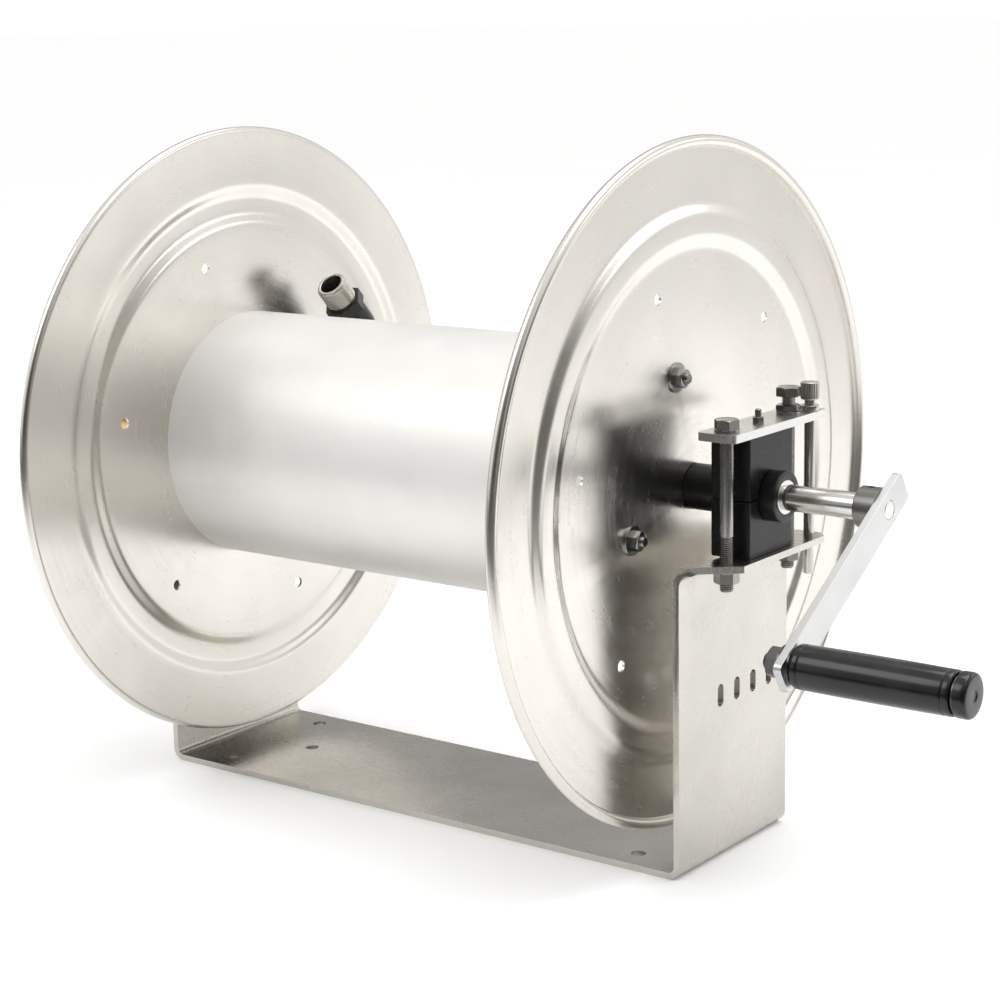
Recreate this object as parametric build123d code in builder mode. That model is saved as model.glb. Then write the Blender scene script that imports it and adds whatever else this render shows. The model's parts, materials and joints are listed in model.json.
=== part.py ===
"""Manual hose reel: a bent plate frame that carries a drum between two discs.

Millimetres, +Z up. The origin is the centre of the base plate's underside. +X runs along
the drum's shaft towards the crank, and the crank hangs towards -Y, the front.
The drum is empty: water enters at the swivel on -X and leaves at the fitting on the drum.
"""
import os
from math import cos, radians, sin

from build123d import *

# ---------------------------------------------------------------- driving dimensions
AXIS_Z = 275.0            # shaft axis above the base's underside

FRAME_HALF_X = 254.0      # outer face of an upright
FRAME_HALF_Y = 76.0
PLATE = 5.0               # frame plate thickness
BEND_R = 10.0             # outer radius of every bend
LEDGE_TOP = 233.0         # bearing seat
LEDGE_END = 290.0         # outer edge of a ledge
FRONT_CHAMFER = (36.0, 29.0)
REAR_CHAMFER = 8.0
BASE_HOLES = (205.0, 55.0)
BASE_LINE_HOLE_X = 165.0
BASE_HOLE_R = 5.5
SLOT_COUNT = 4
SLOT_PITCH = 23.0
SLOT_SIZE = (17.0, 8.0)   # length, width
SLOT_Y = 15.0             # centre of the slot row
LOCK_RADIUS = 150.0       # circle of the discs' lock holes
SLOT_Z = AXIS_Z - 149.0

DISC_R = 254.0
DISC_FACE = 218.0         # inner face of a disc
SHEET = 2.0               # disc thickness
RIM_R = 4.0               # rolled edge
BEAD = (175.0, 205.0)     # pressed stiffening ring
BEAD_HEIGHT = 3.5
BEAD_SLOPE = 8.0          # radial width of each of its sides
BEAD_EASE = 0.6           # how much wider the ring is outside than inside
LOCK_HOLE_R = 4.3
LOCK_HOLES = 6
LOCK_HOLE_ANGLE = 49.0

DRUM_R = 101.5
DRUM_WALL = 2.0
HUB_PLATE = 6.0
TIE_RADIUS = 87.0
TIE_ANGLE = 16.6
TIE_R = 4.0
TIE_END = 231.0
TIE_WASHER_R = 11.0
TIE_WASHER = 1.6
TIE_NUT_R = 7.5
TIE_NUT = 6.5
HUB_BOSS = (9.0, 16.0)    # wall round the shaft, length

CRANK_SHAFT_R = 12.5
CRANK_END_R = 9.5
CRANK_STEP_X = 297.0
MANIFOLD_R = 16.7
MANIFOLD_NOSE_R = 15.0
MANIFOLD_STEP_X = -299.5
MANIFOLD_END_X = -331.0
WATER_R = 10.5
RUNNING = 0.05            # radial clearance of a running fit

BLOCK_X = (252.0, 284.0)
BLOCK_HALF_Y = 31.0
BLOCK_Z = (LEDGE_TOP, AXIS_Z + 46.0)
BLOCK_GAP = 1.0           # split between the two halves
STRAP = 6.0
STRAP_X = (256.0, 287.0)
STRAP_FRONT = 56.0
STRAP_REAR_LOCK = 76.0
BOLT_X = 273.0
BOLT_Y = 43.0
BOLT_R = 5.0
BOLT_HEX_R = 9.2          # across the corners of a head or nut, halved
BOLT_WASHER_R = 9.0
BOLT_WASHER = 2.0
BOLT_HEAD = 7.0
BOLT_NUT = 8.0
BOLT_TIP = 6.0            # thread beyond the nut
DRAG_LIFT = 11.0          # how far the drag adjuster's head stands off its washer
JAM_NUT = 5.0
NIPPLE_STEM_R = 3.0       # grease nipple
NIPPLE_STEM = 6.0
NIPPLE_HOLE = 8.0
LOCK_PIN_XY = (279.0, 64.0)
LOCK_PIN_R = 4.0
KNOB_R = 7.0
KNOB = 13.0
PIN_COLLAR = 4.0

ARM_X = (372.0, 378.0)
ARM_WIDTH = 25.0
CRANK_THROW = 153.0
CRANK_ANGLE = 211.5       # from +Y towards +Z
ARM_TOP = 27.0            # arm beyond the shaft
ARM_FOOT = 16.0           # arm beyond the grip's spindle
CRANK_SPIGOT_R = 7.0      # shaft's end, in the arm
GRIP_X = (381.0, 494.0)
GRIP_R = 15.5
SPINDLE_R = 6.0

OUTLET_X = -177.0
OUTLET_ANGLE = 42.0
RISER_R = 13.35
ELBOW_R = 124.0           # shaft axis to the outlet's centre line
OUTLET_BORE_R = 9.5

SWIVEL_X = (-362.0, -300.0)
SWIVEL_R = 23.0
PORT_X = -341.0
PORT_R = 19.0
PORT_DEPTH = 62.0         # axis to the port's face
PORT_THREAD_R = 12.1
PORT_THREAD_LENGTH = 18.0

os.makedirs("parts", exist_ok=True)


def across(x):
    """Plane square to the shaft at x: local x is +Y, local y is +Z, from the shaft axis."""
    return Plane(origin=(x, 0, AXIS_Z), x_dir=(0, 1, 0), z_dir=(1, 0, 0))


def save(part, name):
    part.label = name
    export_step(part, f"parts/{name}.step")


# Plane through the shaft axis, to revolve about it: local x is +X, local y is the radius.
lengthwise = Plane(origin=(0, 0, AXIS_Z), x_dir=(1, 0, 0), z_dir=(0, -1, 0))
shaft_axis = Axis((0, 0, AXIS_Z), (1, 0, 0))
tie_places = PolarLocations(TIE_RADIUS, 4, TIE_ANGLE)

# ---------------------------------------------------------------- frame
# One plate, bent up at the base's ends and out again at the bearing seats.
with BuildPart() as frame:
    with BuildSketch(Plane.XZ):
        with BuildLine():
            outer = FilletPolyline(
                (-LEDGE_END, LEDGE_TOP - PLATE),
                (-FRAME_HALF_X, LEDGE_TOP - PLATE),
                (-FRAME_HALF_X, 0),
                (FRAME_HALF_X, 0),
                (FRAME_HALF_X, LEDGE_TOP - PLATE),
                (LEDGE_END, LEDGE_TOP - PLATE),
                radius=BEND_R,
            )
            offset(outer, amount=PLATE, side=Side.LEFT)
        make_face()
    extrude(amount=FRAME_HALF_Y, both=True)
    # Ledge corners: a long chamfer at the front, a short one at the rear.
    with BuildSketch(Plane.XY.offset(LEDGE_TOP - PLATE)):
        for side in (1, -1):
            with BuildLine():
                Polyline(
                    (side * LEDGE_END, -FRAME_HALF_Y),
                    (side * (LEDGE_END - FRONT_CHAMFER[0]), -FRAME_HALF_Y),
                    (side * LEDGE_END, -FRAME_HALF_Y + FRONT_CHAMFER[1]),
                    close=True,
                )
            make_face()
            with BuildLine():
                Polyline(
                    (side * LEDGE_END, FRAME_HALF_Y),
                    (side * (LEDGE_END - REAR_CHAMFER), FRAME_HALF_Y),
                    (side * LEDGE_END, FRAME_HALF_Y - REAR_CHAMFER),
                    close=True,
                )
            make_face()
    extrude(amount=PLATE, mode=Mode.SUBTRACT)
    # Bearing bolt holes through the ledges, and the parked lock pin's hole.
    with BuildSketch(Plane.XY.offset(LEDGE_TOP - PLATE)):
        with GridLocations(2 * BOLT_X, 2 * BOLT_Y, 2, 2):
            Circle(BOLT_R)
        with Locations(LOCK_PIN_XY):
            Circle(LOCK_PIN_R + RUNNING)
    extrude(amount=PLATE, mode=Mode.SUBTRACT)
    # Mounting holes in the base.
    with BuildSketch(Plane.XY):
        with GridLocations(2 * BASE_HOLES[0], 2 * BASE_HOLES[1], 2, 2):
            Circle(BASE_HOLE_R)
        with GridLocations(2 * BASE_LINE_HOLE_X, 0, 2, 1):
            Circle(BASE_HOLE_R)
    extrude(amount=PLATE, mode=Mode.SUBTRACT)
    # Lock slots through both uprights.
    with BuildSketch(Plane(origin=(-FRAME_HALF_X, SLOT_Y, SLOT_Z), x_dir=(0, 1, 0), z_dir=(1, 0, 0))):
        with GridLocations(SLOT_PITCH, 0, SLOT_COUNT, 1):
            SlotOverall(SLOT_SIZE[0], SLOT_SIZE[1], rotation=90)
    extrude(amount=2 * FRAME_HALF_X, mode=Mode.SUBTRACT)
save(frame.part, "frame")

# ---------------------------------------------------------------- bearings, one set each side
for side, word, shaft_r in ((1, "right", CRANK_SHAFT_R), (-1, "left", MANIFOLD_R)):
    block_mid = side * (BLOCK_X[0] + BLOCK_X[1]) / 2
    block_thick = BLOCK_X[1] - BLOCK_X[0]
    for half, low, high in (
        ("lower", BLOCK_Z[0], AXIS_Z - BLOCK_GAP / 2),
        ("upper", AXIS_Z + BLOCK_GAP / 2, BLOCK_Z[1]),
    ):
        with BuildPart() as block:
            with BuildSketch(Plane.XY.offset(low)):
                with Locations((block_mid, 0)):
                    Rectangle(block_thick, 2 * BLOCK_HALF_Y)
            extrude(amount=high - low)
            chamfer(block.edges().filter_by(Axis.Z), length=1.5)
            with BuildSketch(across(block_mid - block_thick / 2)):
                Circle(shaft_r + RUNNING)
            extrude(amount=block_thick, mode=Mode.SUBTRACT)
            if half == "upper":
                with BuildSketch(Plane.XY.offset(high)):
                    with Locations((side * BOLT_X, 0)):
                        Circle(NIPPLE_STEM_R)
                extrude(amount=-NIPPLE_HOLE, mode=Mode.SUBTRACT)
        save(block.part, f"bearing_{half}_{word}")

    # Strap over the block. The right one reaches back to steady the parked lock pin.
    rear = STRAP_REAR_LOCK if side > 0 else STRAP_FRONT
    strap_mid = side * (STRAP_X[0] + STRAP_X[1]) / 2
    with BuildPart() as strap:
        with BuildSketch(Plane.XY.offset(BLOCK_Z[1])):
            with Locations((strap_mid, (rear - STRAP_FRONT) / 2)):
                RectangleRounded(STRAP_X[1] - STRAP_X[0], rear + STRAP_FRONT, 4)
            with Locations((side * BOLT_X, -BOLT_Y), (side * BOLT_X, BOLT_Y)):
                Circle(BOLT_R, mode=Mode.SUBTRACT)
            with Locations((side * BOLT_X, 0)):
                Circle(NIPPLE_STEM_R, mode=Mode.SUBTRACT)
            if side > 0:
                with Locations(LOCK_PIN_XY):
                    Circle(LOCK_PIN_R + RUNNING, mode=Mode.SUBTRACT)
        extrude(amount=STRAP)
    save(strap.part, f"bearing_strap_{word}")

    # Grease nipple: stem, hexagon and ball head.
    strap_top = BLOCK_Z[1] + STRAP
    with BuildPart() as nipple:
        with BuildSketch(Plane.XY.offset(BLOCK_Z[1] - NIPPLE_STEM)):
            with Locations((side * BOLT_X, 0)):
                Circle(NIPPLE_STEM_R)
        extrude(amount=NIPPLE_STEM + STRAP)
        with BuildSketch(Plane.XY.offset(strap_top)):
            with Locations((side * BOLT_X, 0)):
                RegularPolygon(4.5, 6)
        extrude(amount=4)
        with BuildSketch(Plane.XY.offset(strap_top + 4)):
            with Locations((side * BOLT_X, 0)):
                Circle(2.4)
        extrude(amount=6)
        fillet(nipple.faces().sort_by(Axis.Z)[-1].edges(), radius=1.5)
    save(nipple.part, f"grease_nipple_{word}")

    # Bearing bolts. The right rear one stands proud, as the drag adjuster, with a jam nut.
    nut_face = LEDGE_TOP - PLATE - BOLT_WASHER - BOLT_NUT
    bolt_end = nut_face - BOLT_TIP
    with BuildPart() as bolts:
        for y in (-BOLT_Y, BOLT_Y):
            proud = DRAG_LIFT if (side > 0 and y > 0) else 0.0
            under_head = strap_top + BOLT_WASHER + proud
            with BuildSketch(Plane.XY.offset(bolt_end)):
                with Locations((side * BOLT_X, y)):
                    Circle(BOLT_R)
            extrude(amount=under_head - bolt_end)
            with BuildSketch(Plane.XY.offset(under_head)):
                with Locations((side * BOLT_X, y)):
                    RegularPolygon(BOLT_HEX_R, 6, rotation=15)
            extrude(amount=BOLT_HEAD)
    save(bolts.part, f"bearing_bolts_{word}")

    with BuildPart() as washers:
        for z in (strap_top, LEDGE_TOP - PLATE - BOLT_WASHER):
            with BuildSketch(Plane.XY.offset(z)):
                with Locations((side * BOLT_X, -BOLT_Y), (side * BOLT_X, BOLT_Y)):
                    Circle(BOLT_WASHER_R)
                    Circle(BOLT_R, mode=Mode.SUBTRACT)
            extrude(amount=BOLT_WASHER)
    save(washers.part, f"bearing_washers_{word}")

    with BuildPart() as nuts:
        with BuildSketch(Plane.XY.offset(nut_face)):
            with Locations((side * BOLT_X, -BOLT_Y), (side * BOLT_X, BOLT_Y)):
                RegularPolygon(BOLT_HEX_R, 6)
                Circle(BOLT_R, mode=Mode.SUBTRACT)
        extrude(amount=BOLT_NUT)
    save(nuts.part, f"bearing_nuts_{word}")

with BuildPart() as drag_jam_nut:
    with BuildSketch(Plane.XY.offset(BLOCK_Z[1] + STRAP + BOLT_WASHER)):
        with Locations((BOLT_X, BOLT_Y)):
            RegularPolygon(BOLT_HEX_R, 6, rotation=40)
            Circle(BOLT_R, mode=Mode.SUBTRACT)
    extrude(amount=JAM_NUT)
save(drag_jam_nut.part, "drag_jam_nut")

# ---------------------------------------------------------------- lock pin, parked in the right ledge
pin_tip = LEDGE_TOP - PLATE - 24
pin_top = BLOCK_Z[1] + STRAP + 8
with BuildPart() as lock_pin:
    with BuildSketch(Plane.XY.offset(pin_tip)):
        with Locations(LOCK_PIN_XY):
            Circle(LOCK_PIN_R)
    extrude(amount=pin_top - pin_tip)
    chamfer(lock_pin.faces().sort_by(Axis.Z)[0].edges(), length=1.5)
save(lock_pin.part, "lock_pin")

with BuildPart() as lock_pin_collar:
    with BuildSketch(Plane.XY.offset(BLOCK_Z[1] + STRAP)):
        with Locations(LOCK_PIN_XY):
            Circle(KNOB_R)
            Circle(LOCK_PIN_R, mode=Mode.SUBTRACT)
    extrude(amount=PIN_COLLAR)
save(lock_pin_collar.part, "lock_pin_collar")

with BuildPart() as lock_pin_knob:
    with BuildSketch(Plane.XY.offset(pin_top)):
        with Locations(LOCK_PIN_XY):
            Circle(KNOB_R)
    extrude(amount=KNOB)
    fillet(lock_pin_knob.edges().filter_by(GeomType.CIRCLE), radius=1.5)
save(lock_pin_knob.part, "lock_pin_knob")

# ---------------------------------------------------------------- discs
for side, word, shaft_r in ((1, "right", CRANK_SHAFT_R), (-1, "left", MANIFOLD_R)):
    inner = DISC_FACE
    outer_face = DISC_FACE + SHEET
    rise = BEAD_HEIGHT
    with BuildPart() as disc:
        with BuildSketch(lengthwise):
            with BuildLine():
                Polyline(
                    (side * inner, shaft_r),
                    (side * inner, BEAD[0]),
                    (side * (inner + rise), BEAD[0] + BEAD_SLOPE),
                    (side * (inner + rise), BEAD[1] - BEAD_SLOPE),
                    (side * inner, BEAD[1]),
                    (side * inner, DISC_R - RIM_R),
                    (side * outer_face, DISC_R - RIM_R),
                    (side * outer_face, BEAD[1] + BEAD_EASE),
                    (side * (outer_face + rise), BEAD[1] - BEAD_SLOPE + BEAD_EASE),
                    (side * (outer_face + rise), BEAD[0] + BEAD_SLOPE - BEAD_EASE),
                    (side * outer_face, BEAD[0] - BEAD_EASE),
                    (side * outer_face, shaft_r),
                    close=True,
                )
            make_face()
            with Locations((side * (inner + RIM_R - 0.5), DISC_R - RIM_R)):
                Circle(RIM_R)
        revolve(axis=shaft_axis)
        with BuildSketch(across(side * (inner - 1))):
            with PolarLocations(LOCK_RADIUS, LOCK_HOLES, LOCK_HOLE_ANGLE):
                Circle(LOCK_HOLE_R)
            with tie_places:
                Circle(TIE_R)
        extrude(amount=side * (SHEET + 2), mode=Mode.SUBTRACT)
    save(disc.part, f"{word}_disc")

    # Hub plate inside the drum's end, with a boss on the shaft.
    boss = shaft_r + HUB_BOSS[0]
    with BuildPart() as hub_plate:
        with BuildSketch(across(side * DISC_FACE)):
            Circle(DRUM_R - DRUM_WALL)
            Circle(shaft_r, mode=Mode.SUBTRACT)
            with tie_places:
                Circle(TIE_R, mode=Mode.SUBTRACT)
        extrude(amount=-side * HUB_PLATE)
        with BuildSketch(across(side * (DISC_FACE - HUB_PLATE))):
            Circle(boss)
            Circle(shaft_r, mode=Mode.SUBTRACT)
        extrude(amount=-side * HUB_BOSS[1])
    save(hub_plate.part, f"{word}_hub_plate")

# ---------------------------------------------------------------- drum, tie rods and their fasteners
outlet_dir = (0, cos(radians(OUTLET_ANGLE)), sin(radians(OUTLET_ANGLE)))
tangent = (0, -sin(radians(OUTLET_ANGLE)), cos(radians(OUTLET_ANGLE)))


def outward(radius):
    """Plane square to the outlet riser, at this radius: local x is the way the outlet turns."""
    origin = (OUTLET_X, radius * outlet_dir[1], AXIS_Z + radius * outlet_dir[2])
    return Plane(origin=origin, x_dir=tangent, z_dir=outlet_dir)


GROMMET_R = RISER_R + 2.2
with BuildPart() as drum_tube:
    with BuildSketch(across(-DISC_FACE)):
        Circle(DRUM_R)
        Circle(DRUM_R - DRUM_WALL, mode=Mode.SUBTRACT)
    extrude(amount=2 * DISC_FACE)
    with BuildSketch(outward(DRUM_R - 12)):
        Circle(GROMMET_R)
    extrude(amount=20, mode=Mode.SUBTRACT)
save(drum_tube.part, "drum_tube")

with BuildPart() as tie_rods:
    with BuildSketch(across(-TIE_END)):
        with tie_places:
            Circle(TIE_R)
    extrude(amount=2 * TIE_END)
save(tie_rods.part, "tie_rods")

with BuildPart() as tie_washers:
    for side in (1, -1):
        with BuildSketch(across(side * (DISC_FACE + SHEET))):
            with tie_places:
                Circle(TIE_WASHER_R)
                Circle(TIE_R, mode=Mode.SUBTRACT)
        extrude(amount=side * TIE_WASHER)
save(tie_washers.part, "tie_rod_washers")

with BuildPart() as tie_nuts:
    for side in (1, -1):
        with BuildSketch(across(side * (DISC_FACE + SHEET + TIE_WASHER))):
            with tie_places:
                RegularPolygon(TIE_NUT_R, 6)
                Circle(TIE_R, mode=Mode.SUBTRACT)
        extrude(amount=side * TIE_NUT)
save(tie_nuts.part, "tie_rod_nuts")

# ---------------------------------------------------------------- shafts and collars
with BuildPart() as crank_shaft:
    with BuildSketch(across(DISC_FACE - 34)):
        Circle(CRANK_SHAFT_R)
    extrude(amount=CRANK_STEP_X - DISC_FACE + 34)
    with BuildSketch(across(CRANK_STEP_X)):
        Circle(CRANK_END_R)
    extrude(amount=ARM_X[0] - CRANK_STEP_X)
    with BuildSketch(across(ARM_X[0])):
        Circle(CRANK_SPIGOT_R)
    extrude(amount=ARM_X[1] - ARM_X[0])
    chamfer(crank_shaft.faces().sort_by(Axis.X)[-1].edges(), length=1)
save(crank_shaft.part, "crank_shaft")

MANIFOLD_IN_X = OUTLET_X + 24
SNAP_RING_X = -326.5
SNAP_RING = 1.6
SNAP_GROOVE_R = 14.0
with BuildPart() as manifold_shaft:
    with BuildSketch(across(MANIFOLD_STEP_X)):
        Circle(MANIFOLD_R)
    extrude(amount=MANIFOLD_IN_X - MANIFOLD_STEP_X)
    with BuildSketch(across(MANIFOLD_END_X)):
        Circle(MANIFOLD_NOSE_R)
    extrude(amount=MANIFOLD_STEP_X - MANIFOLD_END_X)
    with BuildSketch(across(MANIFOLD_END_X)):
        Circle(WATER_R)
    extrude(amount=MANIFOLD_IN_X - 8 - MANIFOLD_END_X, mode=Mode.SUBTRACT)
    with BuildSketch(outward(0)):
        Circle(WATER_R)
    extrude(amount=MANIFOLD_R + 2, mode=Mode.SUBTRACT)
    with BuildSketch(across(SNAP_RING_X - SNAP_RING)):
        Circle(MANIFOLD_NOSE_R + 1)
        Circle(SNAP_GROOVE_R, mode=Mode.SUBTRACT)
    extrude(amount=SNAP_RING, mode=Mode.SUBTRACT)
save(manifold_shaft.part, "manifold_shaft")

# Spacers stand between a disc and its bearing, collars outside the bearing.
# Each keeps half a millimetre from the block.
END_PLAY = 0.5
COLLAR = 12.0
for side, word, shaft_r in ((1, "right", CRANK_SHAFT_R), (-1, "left", MANIFOLD_R)):
    with BuildPart() as spacer:
        with BuildSketch(across(side * (DISC_FACE + SHEET))):
            Circle(shaft_r + 4.5)
            Circle(shaft_r, mode=Mode.SUBTRACT)
        extrude(amount=side * (BLOCK_X[0] - END_PLAY - DISC_FACE - SHEET))
    save(spacer.part, f"shaft_spacer_{word}")

    collar_r = shaft_r + 6
    with BuildPart() as collar:
        with BuildSketch(across(side * (BLOCK_X[1] + END_PLAY))):
            Circle(collar_r)
            Circle(shaft_r, mode=Mode.SUBTRACT)
        extrude(amount=side * COLLAR)
        chamfer(collar.edges().filter_by(GeomType.CIRCLE).group_by(SortBy.RADIUS)[-1], length=1)
        with BuildSketch(Plane.XY.offset(AXIS_Z)):
            with Locations((side * (BLOCK_X[1] + END_PLAY + COLLAR / 2), 0)):
                Circle(2.5)
        extrude(amount=collar_r + 1, mode=Mode.SUBTRACT)
    save(collar.part, f"shaft_collar_{word}")

with BuildPart() as collar_screws:
    for side, shaft_r in ((1, CRANK_SHAFT_R), (-1, MANIFOLD_R)):
        with BuildSketch(Plane.XY.offset(AXIS_Z + shaft_r)):
            with Locations((side * (BLOCK_X[1] + END_PLAY + COLLAR / 2), 0)):
                Circle(2.5)
                RegularPolygon(1.4, 6, mode=Mode.SUBTRACT)
        extrude(amount=5)
save(collar_screws.part, "collar_set_screws")

# ---------------------------------------------------------------- water way: riser, grommet, outlet
with BuildPart() as riser_pipe:
    with BuildSketch(outward(0)):
        Circle(RISER_R)
        Circle(WATER_R, mode=Mode.SUBTRACT)
    extrude(amount=DRUM_R + 10)
    with BuildSketch(across(OUTLET_X - 40)):
        Circle(MANIFOLD_R)
    extrude(amount=80, mode=Mode.SUBTRACT)
    split(bisect_by=outward(0), keep=Keep.TOP)
save(riser_pipe.part, "riser_pipe")

with BuildPart() as outlet_grommet:
    with BuildSketch(outward(DRUM_R - 6)):
        Circle(GROMMET_R)
        Circle(RISER_R, mode=Mode.SUBTRACT)
    extrude(amount=7)
save(outlet_grommet.part, "outlet_grommet")

# Street elbow: a socket on the riser, a corner, a hexagon, then a separate male nipple.
SOCKET_FROM = DRUM_R + 2
SOCKET_DEPTH = 8.0
ELBOW_BODY_R = 14.5
HEX_FROM = 20.0           # riser axis to the hexagon
HEX_TO = 30.0
NIPPLE_R = 13.3
NIPPLE_ROOT_R = 12.3       # inside the hexagon, and 1 mm beyond it
NIPPLE_ROOT = 1.0
NIPPLE_DEPTH = 8.0
NIPPLE_END = 51.0


def along_outlet(distance):
    """Plane square to the outlet nipple, at this distance from the riser's axis."""
    origin = (
        OUTLET_X,
        ELBOW_R * outlet_dir[1] + distance * tangent[1],
        AXIS_Z + ELBOW_R * outlet_dir[2] + distance * tangent[2],
    )
    return Plane(origin=origin, x_dir=(1, 0, 0), z_dir=tangent)


with BuildPart() as outlet_elbow:
    with BuildSketch(outward(SOCKET_FROM)):
        Circle(RISER_R + 3.6)
    extrude(amount=SOCKET_DEPTH + 3)
    with BuildSketch(outward(SOCKET_FROM + SOCKET_DEPTH)):
        Circle(ELBOW_BODY_R)
    extrude(amount=ELBOW_R - SOCKET_FROM - SOCKET_DEPTH)
    with BuildSketch(along_outlet(0)):
        Circle(ELBOW_BODY_R)
    extrude(amount=HEX_FROM)
    with Locations(along_outlet(0)):
        Sphere(ELBOW_BODY_R)
    with BuildSketch(along_outlet(HEX_FROM)):
        RegularPolygon(17.5, 6)
    extrude(amount=HEX_TO - HEX_FROM)
    with BuildSketch(outward(SOCKET_FROM)):
        Circle(RISER_R)
    extrude(amount=SOCKET_DEPTH, mode=Mode.SUBTRACT)
    with BuildSketch(outward(SOCKET_FROM)):
        Circle(OUTLET_BORE_R)
    extrude(amount=ELBOW_R - SOCKET_FROM, mode=Mode.SUBTRACT)
    with BuildSketch(along_outlet(0)):
        Circle(OUTLET_BORE_R)
    extrude(amount=HEX_TO, mode=Mode.SUBTRACT)
    with Locations(along_outlet(0)):
        Sphere(OUTLET_BORE_R, mode=Mode.SUBTRACT)
    with BuildSketch(along_outlet(HEX_TO)):
        Circle(NIPPLE_ROOT_R)
    extrude(amount=-NIPPLE_DEPTH, mode=Mode.SUBTRACT)
save(outlet_elbow.part, "outlet_elbow")

with BuildPart() as outlet_nipple:
    with BuildSketch(along_outlet(HEX_TO - NIPPLE_DEPTH)):
        Circle(NIPPLE_ROOT_R)
        Circle(OUTLET_BORE_R, mode=Mode.SUBTRACT)
    extrude(amount=NIPPLE_DEPTH + NIPPLE_ROOT)
    with BuildSketch(along_outlet(HEX_TO + NIPPLE_ROOT)):
        Circle(NIPPLE_R)
        Circle(OUTLET_BORE_R, mode=Mode.SUBTRACT)
    extrude(amount=NIPPLE_END - HEX_TO - NIPPLE_ROOT)
save(outlet_nipple.part, "outlet_nipple")

# ---------------------------------------------------------------- crank
CRANK_HUB_R = 15.0
CRANK_HUB_FROM = 356.0
grip_y = CRANK_THROW * cos(radians(CRANK_ANGLE))
grip_z = CRANK_THROW * sin(radians(CRANK_ANGLE))

with BuildPart() as crank_hub:
    with BuildSketch(across(CRANK_HUB_FROM)):
        Circle(CRANK_HUB_R)
        Circle(CRANK_END_R, mode=Mode.SUBTRACT)
    extrude(amount=ARM_X[0] - CRANK_HUB_FROM)
    chamfer(crank_hub.edges().filter_by(GeomType.CIRCLE).sort_by(Axis.X).group_by(SortBy.RADIUS)[-1][0], length=1)
    with BuildSketch(Plane.XY.offset(AXIS_Z)):
        with Locations((CRANK_HUB_FROM + 8, 0)):
            Circle(3)
    extrude(amount=CRANK_HUB_R + 1, mode=Mode.SUBTRACT)
save(crank_hub.part, "crank_hub")

with BuildPart() as crank_set_screw:
    with BuildSketch(Plane.XY.offset(AXIS_Z + CRANK_END_R)):
        with Locations((CRANK_HUB_FROM + 8, 0)):
            Circle(3)
            RegularPolygon(1.6, 6, mode=Mode.SUBTRACT)
    extrude(amount=5)
save(crank_set_screw.part, "crank_set_screw")

# Local x of this plane runs from the shaft to the grip.
arm_plane = Plane(
    origin=(ARM_X[0], 0, AXIS_Z),
    x_dir=(0, cos(radians(CRANK_ANGLE)), sin(radians(CRANK_ANGLE))),
    z_dir=(1, 0, 0),
)
with BuildPart() as crank_arm:
    with BuildSketch(arm_plane):
        with Locations(((CRANK_THROW + ARM_FOOT - ARM_TOP) / 2, 0)):
            RectangleRounded(CRANK_THROW + ARM_FOOT + ARM_TOP, ARM_WIDTH, 5)
        with Locations((0, 0)):
            Circle(CRANK_SPIGOT_R, mode=Mode.SUBTRACT)
        with Locations((CRANK_THROW, 0)):
            Circle(SPINDLE_R, mode=Mode.SUBTRACT)
    extrude(amount=ARM_X[1] - ARM_X[0])
save(crank_arm.part, "crank_arm")

# ---------------------------------------------------------------- grip on its spindle
SPINDLE_HEAD_X = GRIP_X[1] + 1.8
SPINDLE_HEAD_R = 11.0
SPINDLE_HEAD = 6.0
SPINDLE_WASHER = 1.5
END_WASHER = 1.2           # between the grip and the spindle's head


def across_grip(x):
    """Plane square to the grip's spindle at x, centred on it."""
    return Plane(origin=(x, grip_y, AXIS_Z + grip_z), x_dir=(0, 1, 0), z_dir=(1, 0, 0))


with BuildPart() as grip_spindle:
    with BuildSketch(across_grip(ARM_X[0] - 15)):
        Circle(SPINDLE_R)
    extrude(amount=SPINDLE_HEAD_X - ARM_X[0] + 15)
    with BuildSketch(across_grip(SPINDLE_HEAD_X)):
        Circle(SPINDLE_HEAD_R)
    extrude(amount=SPINDLE_HEAD)
    with BuildSketch(across_grip(SPINDLE_HEAD_X + SPINDLE_HEAD)):
        RegularPolygon(4, 6)
    extrude(amount=-3.5, mode=Mode.SUBTRACT)
save(grip_spindle.part, "grip_spindle")

# A cap pressed over the spindle's head, almost as wide as the grip.
with BuildPart() as grip_end_cap:
    with BuildSketch(across_grip(SPINDLE_HEAD_X + 0.4)):
        Circle(GRIP_R - 0.3)
    extrude(amount=SPINDLE_HEAD + 3)
    with BuildSketch(across_grip(SPINDLE_HEAD_X + 0.4)):
        Circle(SPINDLE_HEAD_R)
    extrude(amount=SPINDLE_HEAD - 0.4, mode=Mode.SUBTRACT)
    fillet(grip_end_cap.faces().sort_by(Axis.X)[-1].edges(), radius=2.2)
save(grip_end_cap.part, "grip_end_cap")

with BuildPart() as spindle_nut:
    with BuildSketch(across_grip(ARM_X[0] - SPINDLE_WASHER)):
        RegularPolygon(11, 6, rotation=10)
        Circle(SPINDLE_R, mode=Mode.SUBTRACT)
    extrude(amount=-10)
save(spindle_nut.part, "spindle_nut")

with BuildPart() as spindle_washers:
    for x, thick in (
        (ARM_X[0] - SPINDLE_WASHER, SPINDLE_WASHER),
        (ARM_X[1], SPINDLE_WASHER),
        (SPINDLE_HEAD_X - END_WASHER, END_WASHER),
    ):
        with BuildSketch(across_grip(x)):
            Circle(13)
            Circle(SPINDLE_R, mode=Mode.SUBTRACT)
        extrude(amount=thick)
save(spindle_washers.part, "spindle_washers")

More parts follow.
